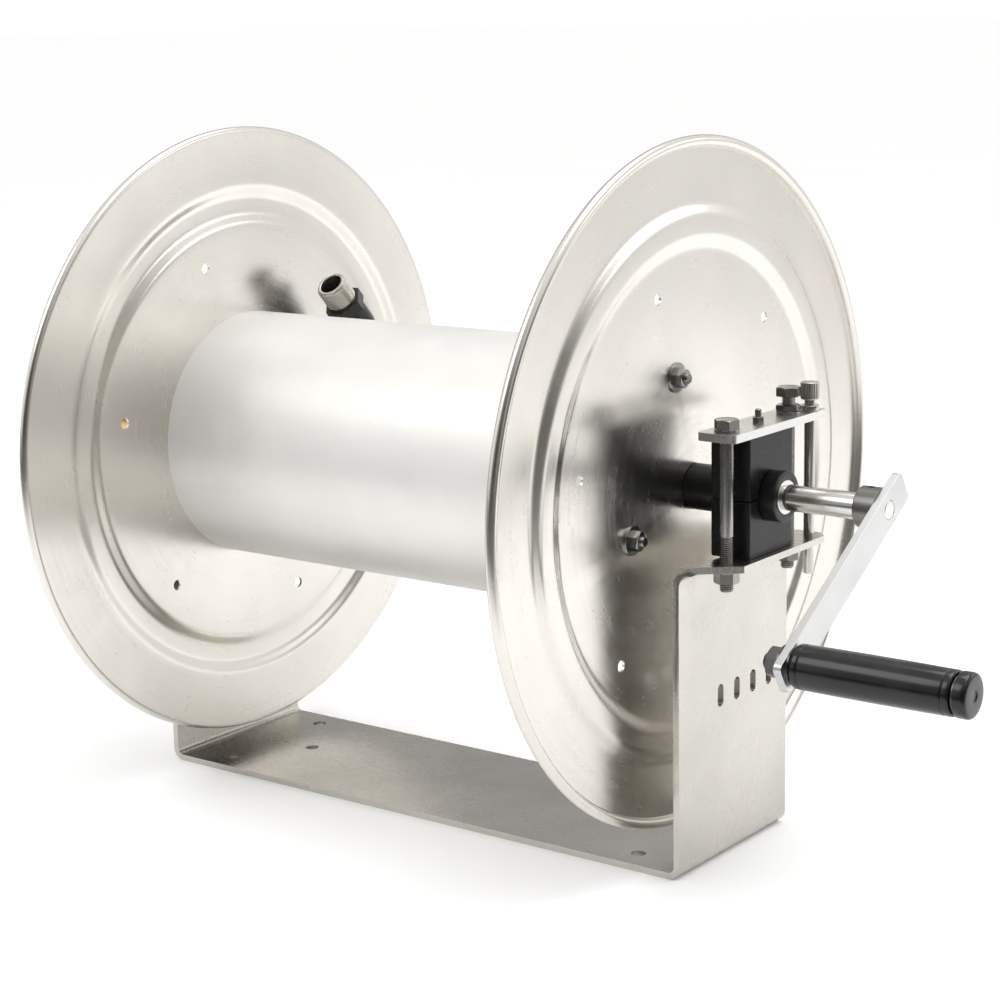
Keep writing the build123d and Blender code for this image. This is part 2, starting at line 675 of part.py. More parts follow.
GRIP_SLEEVE_R = 9.0
with BuildPart() as grip_sleeve:
    with BuildSketch(across_grip(GRIP_X[0] - 0.5)):
        Circle(GRIP_SLEEVE_R)
        Circle(SPINDLE_R + RUNNING, mode=Mode.SUBTRACT)
    extrude(amount=GRIP_X[1] - GRIP_X[0] + 0.6)
save(grip_sleeve.part, "grip_sleeve")

with BuildPart() as grip:
    with BuildSketch(across_grip(GRIP_X[0])):
        Circle(GRIP_R)
        Circle(GRIP_SLEEVE_R, mode=Mode.SUBTRACT)
    extrude(amount=GRIP_X[1] - GRIP_X[0])
    fillet(grip.edges().filter_by(GeomType.CIRCLE).group_by(SortBy.RADIUS)[-1], radius=2)
save(grip.part, "grip")

# ---------------------------------------------------------------- swivel inlet, hanging from the manifold shaft
SWIVEL_WALL_X = SNAP_RING_X + 0.5    # step that the snap ring holds
CAP_SEAT_X = SWIVEL_X[0] + 6
CHAMBER_R = 18.0
SEAL_XS = (-306.0, -314.0)
SEAL_WIDTH = 3.0
SEAL_R = 17.6

with BuildPart() as swivel_body:
    with BuildSketch(across(SWIVEL_X[0])):
        Circle(SWIVEL_R)
    extrude(amount=SWIVEL_X[1] - SWIVEL_X[0])
    with BuildSketch(Plane.XY.offset(AXIS_Z - PORT_DEPTH)):
        with Locations((PORT_X, 0)):
            Circle(PORT_R)
    extrude(amount=PORT_DEPTH)
    with BuildSketch(Plane.XY.offset(AXIS_Z - PORT_DEPTH)):
        with Locations((PORT_X, 0)):
            RegularPolygon(23, 6)
    extrude(amount=16)
    with BuildSketch(across(SWIVEL_X[1])):
        Circle(MANIFOLD_NOSE_R + RUNNING)
    extrude(amount=SWIVEL_WALL_X - SWIVEL_X[1], mode=Mode.SUBTRACT)
    with BuildSketch(across(SWIVEL_WALL_X)):
        Circle(CHAMBER_R)
    extrude(amount=SWIVEL_X[0] - SWIVEL_WALL_X, mode=Mode.SUBTRACT)
    for x in SEAL_XS:
        with BuildSketch(across(x - SEAL_WIDTH)):
            Circle(SEAL_R)
        extrude(amount=SEAL_WIDTH, mode=Mode.SUBTRACT)
    # Water bore up to the chamber, and the female inlet thread below it.
    with BuildSketch(Plane.XY.offset(AXIS_Z - PORT_DEPTH)):
        with Locations((PORT_X, 0)):
            Circle(OUTLET_BORE_R)
    extrude(amount=PORT_DEPTH, mode=Mode.SUBTRACT)
    with BuildSketch(Plane.XY.offset(AXIS_Z - PORT_DEPTH)):
        with Locations((PORT_X, 0)):
            Circle(PORT_THREAD_R)
    extrude(amount=PORT_THREAD_LENGTH, mode=Mode.SUBTRACT)
save(swivel_body.part, "swivel_body")

with BuildPart() as end_cap:
    with BuildSketch(across(CAP_SEAT_X)):
        Circle(CHAMBER_R)
    extrude(amount=SWIVEL_X[0] - CAP_SEAT_X)
    with BuildSketch(across(SWIVEL_X[0])):
        RegularPolygon(20, 6)
    extrude(amount=-8)
    chamfer(end_cap.faces().sort_by(Axis.X)[0].edges(), length=1)
save(end_cap.part, "swivel_end_cap")

with BuildPart() as seals:
    for x in SEAL_XS:
        with BuildSketch(across(x - SEAL_WIDTH)):
            Circle(SEAL_R)
            Circle(MANIFOLD_NOSE_R + RUNNING, mode=Mode.SUBTRACT)
        extrude(amount=SEAL_WIDTH)
save(seals.part, "swivel_seals")

with BuildPart() as snap_ring:
    with BuildSketch(across(SNAP_RING_X - SNAP_RING)):
        Circle(CHAMBER_R - 0.8)
        Circle(SNAP_GROOVE_R, mode=Mode.SUBTRACT)
        with Locations((0, CHAMBER_R)):
            Rectangle(4, 12, mode=Mode.SUBTRACT)
    extrude(amount=SNAP_RING)
save(snap_ring.part, "swivel_snap_ring")
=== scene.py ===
"""Looks of the hose reel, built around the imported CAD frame.

Metres, +Z up, +X along the drum's shaft towards the crank, -Y the front.
The pieces' places come from the frame's own boxes; the lengths named below are the sizes and
spacings of details.
"""
import json
from math import cos, pi, radians, sin, tan

import bmesh
import bpy
from mathutils import Matrix, Vector


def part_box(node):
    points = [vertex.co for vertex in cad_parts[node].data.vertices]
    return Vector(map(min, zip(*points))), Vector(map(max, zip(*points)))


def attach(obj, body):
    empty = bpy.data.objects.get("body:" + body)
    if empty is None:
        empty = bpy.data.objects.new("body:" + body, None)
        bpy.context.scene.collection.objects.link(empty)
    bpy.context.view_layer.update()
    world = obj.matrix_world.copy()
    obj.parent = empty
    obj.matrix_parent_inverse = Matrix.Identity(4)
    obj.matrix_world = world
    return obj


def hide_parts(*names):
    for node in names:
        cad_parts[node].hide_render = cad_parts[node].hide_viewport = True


MM = 0.001
ON_AXIS = 1e-9

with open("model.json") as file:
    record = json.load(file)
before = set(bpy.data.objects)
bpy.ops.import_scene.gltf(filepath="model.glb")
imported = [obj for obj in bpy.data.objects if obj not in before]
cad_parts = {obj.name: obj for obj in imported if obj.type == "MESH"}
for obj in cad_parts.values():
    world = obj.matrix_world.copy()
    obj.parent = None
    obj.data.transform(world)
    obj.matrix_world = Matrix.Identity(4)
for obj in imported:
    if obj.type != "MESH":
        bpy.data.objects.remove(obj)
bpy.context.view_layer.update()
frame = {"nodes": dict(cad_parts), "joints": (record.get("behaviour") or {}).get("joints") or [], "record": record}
nodes = frame["nodes"]
body_of_node = {
    node: body for body, members in frame["record"]["behaviour"]["bodies"].items() for node in members
}
slot_of_node = {part["node"]: part["material_slot"] for part in frame["record"]["subparts"]}
AXIS = Vector(next(j for j in frame["joints"] if j["name"] == "drum_spin")["pos_m"])


# ---------------------------------------------------------------- mesh helpers
def middle(node):
    low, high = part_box(node)
    return (low + high) / 2


def half_height(node):
    low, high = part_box(node)
    return (high.z - low.z) / 2


def basis(origin, forward, side=None):
    """Matrix whose local x is forward; local y is as near to side as it can be."""
    x = Vector(forward).normalized()
    upright = Vector((0, 0, 1)) if abs(x.z) < 0.9 else Vector((0, 1, 0))
    hint = upright if side is None else Vector(side)
    y = (hint - hint.dot(x) * x).normalized()
    z = x.cross(y)
    m = Matrix.Identity(4)
    for row in range(3):
        m[row][0], m[row][1], m[row][2], m[row][3] = x[row], y[row], z[row], origin[row]
    return m


def along_x(centre=AXIS):
    return basis((0.0, centre.y, centre.z), (1, 0, 0), (0, 1, 0))


def upward(x, y, z):
    return basis((x, y, z), (0, 0, 1))


def rounded(points, radius, steps=4):
    """A closed outline with its corners rounded. points are (along, radius) or (along, radius, corner)."""
    result = []
    count = len(points)
    for i in range(count):
        here = Vector(points[i][:2])
        corner = points[i][2] if len(points[i]) > 2 else radius
        before = Vector(points[i - 1][:2]) - here
        after = Vector(points[(i + 1) % count][:2]) - here
        reach = min(corner, before.length * 0.45, after.length * 0.45)
        if reach < 1e-7:
            result.append(here)
            continue
        start = here + before.normalized() * reach
        end = here + after.normalized() * reach
        for k in range(steps + 1):
            t = k / steps
            result.append(start * (1 - t) ** 2 + here * 2 * t * (1 - t) + end * t ** 2)
    return result


def finish_mesh(name, bm, sharp=35):
    bmesh.ops.remove_doubles(bm, verts=bm.verts, dist=1e-7)
    bmesh.ops.recalc_face_normals(bm, faces=bm.faces)
    mesh = bpy.data.meshes.new(name)
    bm.to_mesh(mesh)
    bm.free()
    mesh.polygons.foreach_set("use_smooth", [True] * len(mesh.polygons))
    mesh.set_sharp_from_angle(angle=radians(sharp))
    piece = bpy.data.objects.new(name, mesh)
    bpy.context.scene.collection.objects.link(piece)
    return piece


def new_ring(bm, outline, place, angle):
    """The outline's points, (along, radius), turned by the angle about local x."""
    return [bm.verts.new(place @ Vector((p[0], p[1] * cos(angle), p[1] * sin(angle)))) for p in outline]


def bridge(bm, rings, outline=None):
    """Faces between neighbouring rings. With an outline, none is made along its axis."""
    count = len(rings[0])
    for k, here in enumerate(rings):
        there = rings[(k + 1) % len(rings)]
        for i in range(count):
            j = (i + 1) % count
            if outline and outline[i][1] < ON_AXIS and outline[j][1] < ON_AXIS:
                continue
            bm.faces.new((here[i], here[j], there[j], there[i]))


def add_lathe(bm, outline, place, segments=96):
    """Turns a closed outline of (along, radius) about local x."""
    rings = [new_ring(bm, outline, place, 2 * pi * k / segments) for k in range(segments)]
    bridge(bm, rings, outline)


def add_hexagon(bm, flats, height, place, bore=0.0, turn=0.0, both=False, segments=72):
    """A hexagon with its corners turned off by a 30 degree cone, as on a nut or a bolt head."""
    land = flats / 2 * 0.96
    rings = []
    for k in range(segments):
        a = 2 * pi * k / segments
        edge = flats / 2 / cos((a + pi / 6) % (pi / 3) - pi / 6)
        drop = (edge - land) * tan(radians(30))
        low = drop if both else 0.0
        outline = [(low, edge), (height - drop, edge), (height, land), (height, bore), (0.0, bore)]
        if both:
            outline.append((0.0, land))
        rings.append(new_ring(bm, outline, place, a + turn))
    bridge(bm, rings)


def add_thread(bm, radius, pitch, length, place, segments=32):
    """A helical ridge: rows climb one pitch per turn and are cut off flat at both ends."""
    depth = pitch * 0.54
    profile = (depth, depth * 0.9, 0.12 * depth, 0.0, 0.12 * depth, depth * 0.9)
    rows = int(length / pitch * len(profile)) + 2 * len(profile)
    fade = pitch * 0.8
    grid = []
    for i in range(rows + 1):
        ring = []
        for k in range(segments + 1):
            along = (i / len(profile) + k / segments - 1) * pitch
            along = min(max(along, 0.0), length)
            taper = min(1.0, along / fade, (length - along) / fade)
            r = radius - depth + (depth - profile[i % len(profile)]) * max(taper, 0.0)
            a = 2 * pi * k / segments
            ring.append(bm.verts.new(place @ Vector((along, r * cos(a), r * sin(a)))))
        grid.append(ring)
    for i in range(rows):
        for k in range(segments):
            bm.faces.new((grid[i][k], grid[i + 1][k], grid[i + 1][k + 1], grid[i][k + 1]))
    # The last point of a row is the first point of the row one pitch on.
    bmesh.ops.remove_doubles(bm, verts=[v for ring in grid for v in ring], dist=1e-7)


def adopt(piece, *replaced):
    """The piece stands for these CAD nodes and rides on their body."""
    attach(piece, body_of_node[replaced[0]])
    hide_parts(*replaced)
    return piece


def take_result(piece):
    """Applies the piece's modifiers to its mesh."""
    shaped = bpy.data.meshes.new_from_object(piece.evaluated_get(bpy.context.evaluated_depsgraph_get()))
    piece.modifiers.clear()
    piece.data = shaped


def softened(node, width, angle=40):
    """A copy of a CAD node's mesh with its flats merged and its edges rounded."""
    bm = bmesh.new()
    bm.from_mesh(nodes[node].data)
    bmesh.ops.remove_doubles(bm, verts=bm.verts, dist=1e-6)
    bmesh.ops.dissolve_limit(bm, angle_limit=radians(1), verts=bm.verts, edges=bm.edges)
    piece = finish_mesh(f"{node}_look", bm, sharp=angle)
    bevel = piece.modifiers.new("edge", "BEVEL")
    bevel.width = width
    bevel.segments = 3
    bevel.limit_method = "ANGLE"
    bevel.angle_limit = radians(angle)
    bevel.harden_normals = True
    bevel.use_clamp_overlap = True
    take_result(piece)
    return adopt(piece, node)


def cut(piece, cutters, count=48):
    """Takes round bars, each (origin, forward, radius, length), out of the piece for its holes."""
    bm = bmesh.new()
    angles = [2 * pi * k / count for k in range(count)]
    for origin, forward, radius, length in cutters:
        place = basis(origin, forward)
        ends = []
        for x in (-length / 2, length / 2):
            ends.append([bm.verts.new(place @ Vector((x, radius * cos(a), radius * sin(a)))) for a in angles])
        bm.faces.new(ends[0])
        bm.faces.new(list(reversed(ends[1])))
        for k in range(count):
            j = (k + 1) % count
            bm.faces.new((ends[0][k], ends[1][k], ends[1][j], ends[0][j]))
    tool = finish_mesh("hole_cutter", bm)
    boolean = piece.modifiers.new("holes", "BOOLEAN")
    boolean.operation = "DIFFERENCE"
    boolean.solver = "EXACT"
    boolean.object = tool
    take_result(piece)
    bpy.data.objects.remove(tool)
    piece.data.polygons.foreach_set("use_smooth", [True] * len(piece.data.polygons))
    piece.data.set_sharp_from_angle(angle=radians(35))


# ---------------------------------------------------------------- materials
STAIN_SCALE = 7.0
BLOTCH_SCALE = 34.0
GRAIN_SCALE = 900.0
RINGS_SCALE = 280.0                 # how fine the grain's rings about the shaft are
RINGS_DRIFT = 0.7                   # how fast they change round the shaft


def new_material(name):
    material = bpy.data.materials.new(name)
    material.use_nodes = True
    tree = material.node_tree
    return material, tree.nodes, tree.links, tree.nodes["Principled BSDF"]


def node_math(tree_nodes, links, operation, a, b=None):
    n = tree_nodes.new("ShaderNodeMath")
    n.operation = operation
    for socket, value in zip(n.inputs, (a, b)):
        if value is None:
            continue
        if isinstance(value, (int, float)):
            socket.default_value = value
        else:
            links.new(value, socket)
    return n.outputs[0]


def noise_at(tree_nodes, links, vector, scale, detail=4.0, rough=0.55):
    n = tree_nodes.new("ShaderNodeTexNoise")
    n.inputs["Scale"].default_value = scale
    n.inputs["Detail"].default_value = detail
    n.inputs["Roughness"].default_value = rough
    links.new(vector, n.inputs["Vector"])
    return n.outputs["Fac"]


def colour_socket(sockets, name):
    """A Mix node holds a socket of each name for every data type."""
    return next(s for s in sockets if s.name == name and s.type == "RGBA")


def spread(tree_nodes, links, value, low, high, to_low, to_high):
    n = tree_nodes.new("ShaderNodeMapRange")
    n.inputs["From Min"].default_value = low
    n.inputs["From Max"].default_value = high
    n.inputs["To Min"].default_value = to_low
    n.inputs["To Max"].default_value = to_high
    links.new(value, n.inputs["Value"])
    return n.outputs["Result"]


def blend(tree_nodes, links, factor, colour_a, colour_b):
    """Mixes two colours, each of them red, green and blue or another node's output."""
    mix = tree_nodes.new("ShaderNodeMix")
    mix.data_type = "RGBA"
    links.new(factor, mix.inputs["Factor"])
    for name, colour in (("A", colour_a), ("B", colour_b)):
        socket = colour_socket(mix.inputs, name)
        if isinstance(colour, (tuple, list)):
            socket.default_value = (*colour, 1)
        else:
            links.new(colour, socket)
    return colour_socket(mix.outputs, "Result")


def ramp(tree_nodes, links, value, low, high, colour_a, colour_b):
    factor = spread(tree_nodes, links, value, low, high, 0.0, 1.0)
    return blend(tree_nodes, links, factor, colour_a, colour_b)


def add_bump(tree_nodes, links, shader, height, strength, distance):
    bump = tree_nodes.new("ShaderNodeBump")
    bump.inputs["Strength"].default_value = strength
    bump.inputs["Distance"].default_value = distance
    links.new(height, bump.inputs["Height"])
    links.new(bump.outputs["Normal"], shader.inputs["Normal"])


def ring_grain(tree_nodes, links, coords):
    """Noise in rings about the drum's shaft."""
    parts = tree_nodes.new("ShaderNodeSeparateXYZ")
    links.new(coords, parts.inputs[0])
    x, y = parts.outputs["X"], parts.outputs["Y"]
    up = node_math(tree_nodes, links, "SUBTRACT", parts.outputs["Z"], AXIS.z)
    angle = node_math(tree_nodes, links, "ARCTAN2", up, y)
    squared = node_math(
        tree_nodes, links, "ADD",
        node_math(tree_nodes, links, "MULTIPLY", up, up),
        node_math(tree_nodes, links, "MULTIPLY", y, y),
    )
    out = node_math(tree_nodes, links, "SQRT", squared)
    join = tree_nodes.new("ShaderNodeCombineXYZ")
    for i, (value, scale) in enumerate(((out, RINGS_SCALE), (angle, RINGS_DRIFT), (x, RINGS_SCALE))):
        links.new(node_math(tree_nodes, links, "MULTIPLY", value, scale), join.inputs[i])
    return noise_at(tree_nodes, links, join.outputs[0], 1.0, 1.0)


def metal(
    name, colour, roughness, grain=(1, 1, 1), grain_bump=0.15, polar=False, stain=None, metallic=1.0,
):
    """Metal with broad stains, fine grain along one direction, and a little bump.

    grain is how far the grain noise is squeezed along x, y and z. With polar the grain runs
    round the drum's shaft.
    """
    material, tree_nodes, links, shader = new_material(name)
    shader.inputs["Metallic"].default_value = metallic
    coords = tree_nodes.new("ShaderNodeTexCoord").outputs["Object"]
    broad = noise_at(tree_nodes, links, coords, STAIN_SCALE, 3.0)
    blotch = noise_at(tree_nodes, links, coords, BLOTCH_SCALE, 5.0, 0.6)
    if polar:
        fine = ring_grain(tree_nodes, links, coords)
    else:
        mapping = tree_nodes.new("ShaderNodeMapping")
        mapping.inputs["Scale"].default_value = grain
        links.new(coords, mapping.inputs["Vector"])
        fine = noise_at(tree_nodes, links, mapping.outputs["Vector"], GRAIN_SCALE, 3.0)
    dark = [c * 0.86 for c in colour] if stain is None else stain
    light = [min(1.0, c * 1.05) for c in colour]
    links.new(ramp(tree_nodes, links, broad, 0.3, 0.7, dark, light), shader.inputs["Base Color"])
    rough = node_math(
        tree_nodes, links, "ADD",
        spread(tree_nodes, links, blotch, 0.25, 0.75, roughness * 0.82, roughness * 1.15),
        spread(tree_nodes, links, fine, 0.3, 0.7, -0.02, 0.02),
    )
    links.new(rough, shader.inputs["Roughness"])
    add_bump(tree_nodes, links, shader, fine, grain_bump, 0.1 * MM)
    return material


def plastic(
    name, colour, roughness, bump_scale=1400.0, bump_strength=0.12, coat=0.0, worn=None, specular=0.5,
):
    """Moulded or coated: fine texture and broad gloss changes, with edges worn to the colour worn."""
    material, tree_nodes, links, shader = new_material(name)
    coords = tree_nodes.new("ShaderNodeTexCoord").outputs["Object"]
    fine = noise_at(tree_nodes, links, coords, bump_scale, 2.0)
    broad = noise_at(tree_nodes, links, coords, 45.0, 4.0)
    light = [min(1.0, c * 1.6 + 0.004) for c in colour]
    tone = ramp(tree_nodes, links, broad, 0.35, 0.7, colour, light)
    if worn is not None:
        edge = tree_nodes.new("ShaderNodeNewGeometry").outputs["Pointiness"]
        mask = spread(tree_nodes, links, edge, 0.53, 0.6, 0.0, 0.55)
        tone = blend(tree_nodes, links, mask, tone, worn)
    links.new(tone, shader.inputs["Base Color"])
    uneven = spread(tree_nodes, links, broad, 0.3, 0.7, roughness * 0.8, roughness * 1.25)
    links.new(uneven, shader.inputs["Roughness"])
    shader.inputs["Specular IOR Level"].default_value = specular
    shader.inputs["Coat Weight"].default_value = coat
    shader.inputs["Coat Roughness"].default_value = 0.08
    add_bump(tree_nodes, links, shader, fine, bump_strength, 0.2 * MM)
    return material


BLACK = (0.004, 0.004, 0.004)
RUBBED = (0.05, 0.05, 0.05)
ALONG_SHAFT = (1.0, 0.03, 0.03)

MATERIALS = {
    "frame_plate": metal(
        "frame_plate_finish", (0.575, 0.555, 0.515), 0.27, grain=(0.02, 1.0, 0.02), grain_bump=0.1,
    ),
    "bearing_block": plastic(
        "bearing_block_finish", BLACK, 0.26, bump_scale=900.0, bump_strength=0.15, worn=RUBBED, specular=0.22,
    ),
    "strap": metal("strap_finish", (0.68, 0.675, 0.66), 0.3, grain=(1.0, 0.02, 1.0), grain_bump=0.08),
    "fastener": metal("fastener_finish", (0.36, 0.355, 0.34), 0.26, stain=(0.2, 0.195, 0.18)),
    "lock_pin": metal("lock_pin_finish", (0.55, 0.54, 0.5), 0.24),
    "disc": metal(
        "disc_finish", (0.70, 0.675, 0.63), 0.25, polar=True, grain_bump=0.012, stain=(0.66, 0.635, 0.59),
    ),
    "hub_plate": metal("hub_plate_finish", (0.6, 0.6, 0.59), 0.42),
    "drum": metal(
        "drum_finish", (0.77, 0.76, 0.735), 0.44, polar=True, grain_bump=0.03,
        stain=(0.735, 0.725, 0.7), metallic=0.45,
    ),
    "tie_fastener": metal("tie_fastener_finish", (0.34, 0.335, 0.32), 0.24, stain=(0.2, 0.195, 0.18)),
    "shaft": metal("shaft_finish", (0.66, 0.65, 0.63), 0.15, grain=ALONG_SHAFT),
    "shaft_collar": plastic("shaft_collar_finish", BLACK, 0.3, worn=RUBBED, specular=0.3),
    "dark_screw": metal("dark_screw_finish", (0.05, 0.05, 0.05), 0.35),
    "riser": metal("riser_finish", (0.55, 0.55, 0.54), 0.45),
    "rubber": plastic("rubber_finish", (0.012, 0.012, 0.012), 0.75),
    "outlet_elbow": plastic(
        "outlet_elbow_finish", (0.005, 0.005, 0.005), 0.26, bump_scale=700.0, bump_strength=0.3,
        worn=(0.1, 0.095, 0.09), specular=0.3,
    ),
    "outlet_nipple": metal("outlet_nipple_finish", (0.6, 0.575, 0.53), 0.26),
    "crank_hub": metal("crank_hub_finish", (0.26, 0.255, 0.245), 0.3, stain=(0.15, 0.15, 0.14)),
    "crank_arm": metal("crank_arm_finish", (0.60, 0.605, 0.6), 0.34, grain_bump=0.1),
    "spindle": metal("spindle_finish", (0.16, 0.155, 0.15), 0.28, stain=(0.08, 0.08, 0.08)),
    "grip": plastic(
        "grip_finish", (0.003, 0.003, 0.003), 0.2, bump_scale=1800.0, bump_strength=0.06,
        coat=0.15, specular=0.35,
    ),
    "grip_sleeve": plastic("grip_sleeve_finish", (0.62, 0.6, 0.55), 0.5),
    "swivel": metal("swivel_finish", (0.68, 0.47, 0.21), 0.26, grain=ALONG_SHAFT, grain_bump=0.06),
}


def finish_with(piece, slot):
    piece.data.materials.clear()
    piece.data.materials.append(MATERIALS[slot])
    return piece


def paint_cad_nodes():
    for node, thing in nodes.items():
        finish_with(thing, slot_of_node[node])


def stand_for(node, bm):
    """Makes the mesh the look of a CAD node, with the finish of the node's slot."""
    return adopt(finish_with(finish_mesh(f"{node}_look", bm), slot_of_node[node]), node)


# ---------------------------------------------------------------- discs and drum
MANIFOLD_R = 16.7 * MM
CRANK_SHAFT_R = 12.5 * MM
ROD_R = 4 * MM
LOCK_HOLE_R = 4.3 * MM
LOCK_HOLE_CIRCLE = 150 * MM
LOCK_HOLE_START = radians(49)


def tie_rod_places():
    """Centres of the tie rods, square to the shaft, from the rods' own vertices."""
    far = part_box("tie_rods")[1].x
    end = [v.co for v in nodes["tie_rods"].data.vertices if v.co.x > far - 1e-5]
    groups = []
    for co in end:
        for group in groups:
            if (group[0] - co).length < 5 * ROD_R:
                group.append(co)
                break
        else:
            groups.append([co])
    places = []
    for group in groups:
        ys = [c.y for c in group]
        zs = [c.z for c in group]
        places.append(((min(ys) + max(ys)) / 2, (min(zs) + max(zs)) / 2))
    return places


TIES = tie_rod_places()


def build_disc(word, side):
    """Sheet disc with a pressed ring and a rolled rim, turned as one closed outline."""
    low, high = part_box(f"{word}_disc")
    radius = high.z - AXIS.z
    inner = min(abs(low.x), abs(high.x)) + 0.5 * MM
    outer = inner + 2 * MM
    bore = MANIFOLD_R if side < 0 else CRANK_SHAFT_R
    rim = 4 * MM
    rim_x = inner + rim - 0.5 * MM
    rim_r = radius - rim
    ring_in, ring_out = 175 * MM, 205 * MM
    flat = 8 * MM                   # left plain on both sides of the ring
    slope = 8 * MM
    rise = 3.5 * MM
    ease = 0.6 * MM                 # the outer skin's slopes lie this much outside the inner skin's
    corner = 3 * MM
    inner_face = [
        (inner, bore, 0.2 * MM),
        (inner, ring_in - flat),
        (inner, ring_in, corner),
        (inner + rise, ring_in + slope, corner),
        (inner + rise, ring_out - slope, corner),
        (inner, ring_out, corner),
        (inner, ring_out + flat),
        (inner, rim_r - 4 * MM),
    ]
    roll = [(rim_x + rim * cos(radians(a)), rim_r + rim * sin(radians(a))) for a in range(187, -98, -15)]
    outer_face = [
        (outer, rim_r - 5 * MM),
        (outer, ring_out + flat),
        (outer, ring_out + ease, corner),
        (outer + rise, ring_out - slope + ease, corner),
        (outer + rise, ring_in + slope - ease, corner),
        (outer, ring_in - ease, corner),
        (outer, ring_in - flat),
        (outer, bore, 0.2 * MM),
    ]
    face = rounded(inner_face + roll + outer_face, 0.0, steps=5)
    bm = bmesh.new()
    add_lathe(bm, [(side * p[0], p[1]) for p in face], along_x(), segments=288)
    piece = finish_mesh(f"{word}_disc_look", bm, sharp=40)
    middle_x = side * (inner + outer) / 2
    through = 12 * MM
    holes = []
    for k in range(6):
        a = LOCK_HOLE_START + k * pi / 3
        place = (middle_x, LOCK_HOLE_CIRCLE * cos(a), AXIS.z + LOCK_HOLE_CIRCLE * sin(a))
        holes.append((place, (1, 0, 0), LOCK_HOLE_R, through))
    for y, z in TIES:
        holes.append(((middle_x, y, z), (1, 0, 0), ROD_R, through))
    cut(piece, holes)
    adopt(finish_with(piece, "disc"), f"{word}_disc")


def build_drum():
    """Tube with a hole for the outlet. Extra rings keep the hole's faces in a band of their own."""
    low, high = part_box("drum_tube")
    radius = high.z - AXIS.z
    wall = 2 * MM
    grommet = middle("outlet_grommet")
    reach = 26 * MM
    rings = [low.x, low.x + 2 * MM, grommet.x - reach, grommet.x + reach, high.x - 2 * MM, high.x]
    outline = [(x, radius) for x in rings] + [(x, radius - wall) for x in reversed(rings)]
    bm = bmesh.new()
    add_lathe(bm, outline, along_x(), segments=288)
    piece = finish_mesh("drum_tube_look", bm, sharp=40)
    direction = Vector((0, grommet.y - AXIS.y, grommet.z - AXIS.z)).normalized()
    centre = Vector((grommet.x, 0, AXIS.z)) + direction * radius
    hole_r = 15.5 * MM
    through = 30 * MM
    cut(piece, [(centre, direction, hole_r, through)])
    adopt(finish_with(piece, "drum"), "drum_tube")


# ---------------------------------------------------------------- fasteners
def add_threaded(bm, radius, pitch, length, place):
    """A thread with a solid core inside it."""
    add_thread(bm, radius, pitch, length, place)
    core = radius - 0.9 * MM
    start = 0.3 * MM
    add_lathe(bm, [(start, 0), (start, core), (length, core), (length, 0)], place, segments=32)


def build_tie_fasteners():
    nut_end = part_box("tie_rod_nuts")[1].x
    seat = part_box("tie_rod_washers")[1].x
    rod_low, rod_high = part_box("tie_rods")
    nuts, washers, rods = bmesh.new(), bmesh.new(), bmesh.new()
    thick = 1.6 * MM
    washer_r = 11 * MM
    threaded = 14 * MM
    start = rod_high.x - threaded
    plain = ROD_R - 0.6 * MM
    core = ROD_R - 0.9 * MM
    core_end = threaded - 0.1 * MM
    washer = rounded([(0, ROD_R), (0, washer_r), (thick, washer_r), (thick, ROD_R)], 0.4 * MM)
    body = [(rod_low.x + threaded, 0), (rod_low.x + threaded, plain), (start, plain), (start, 0)]
    cap = [(0, 0), (0, core), (core_end, core), (core_end, 0)]
    for index, (y, z) in enumerate(TIES):
        for side in (1, -1):
            turn = radians(17 + 23 * index + 11 * side)
            out = (side, 0, 0)
            place = basis((side * seat, y, z), out)
            add_hexagon(nuts, 13 * MM, nut_end - seat, place, bore=ROD_R - 0.3 * MM, turn=turn)
            add_lathe(washers, washer, basis((side * (seat - thick), y, z), out), segments=64)
            add_thread(rods, ROD_R, 1.25 * MM, rod_high.x - start, basis((side * start, y, z), out))
        add_lathe(rods, body, along_x(centre=Vector((0, y, z))), segments=32)
        for side in (1, -1):
            add_lathe(rods, cap, basis((side * start, y, z), (side, 0, 0)), segments=32)
    stand_for("tie_rod_nuts", nuts)
    stand_for("tie_rod_washers", washers)
    stand_for("tie_rods", rods)


BOLT_R = 5 * MM
BOLT_PITCH = 1.5 * MM
BOLT_FLATS = 16 * MM


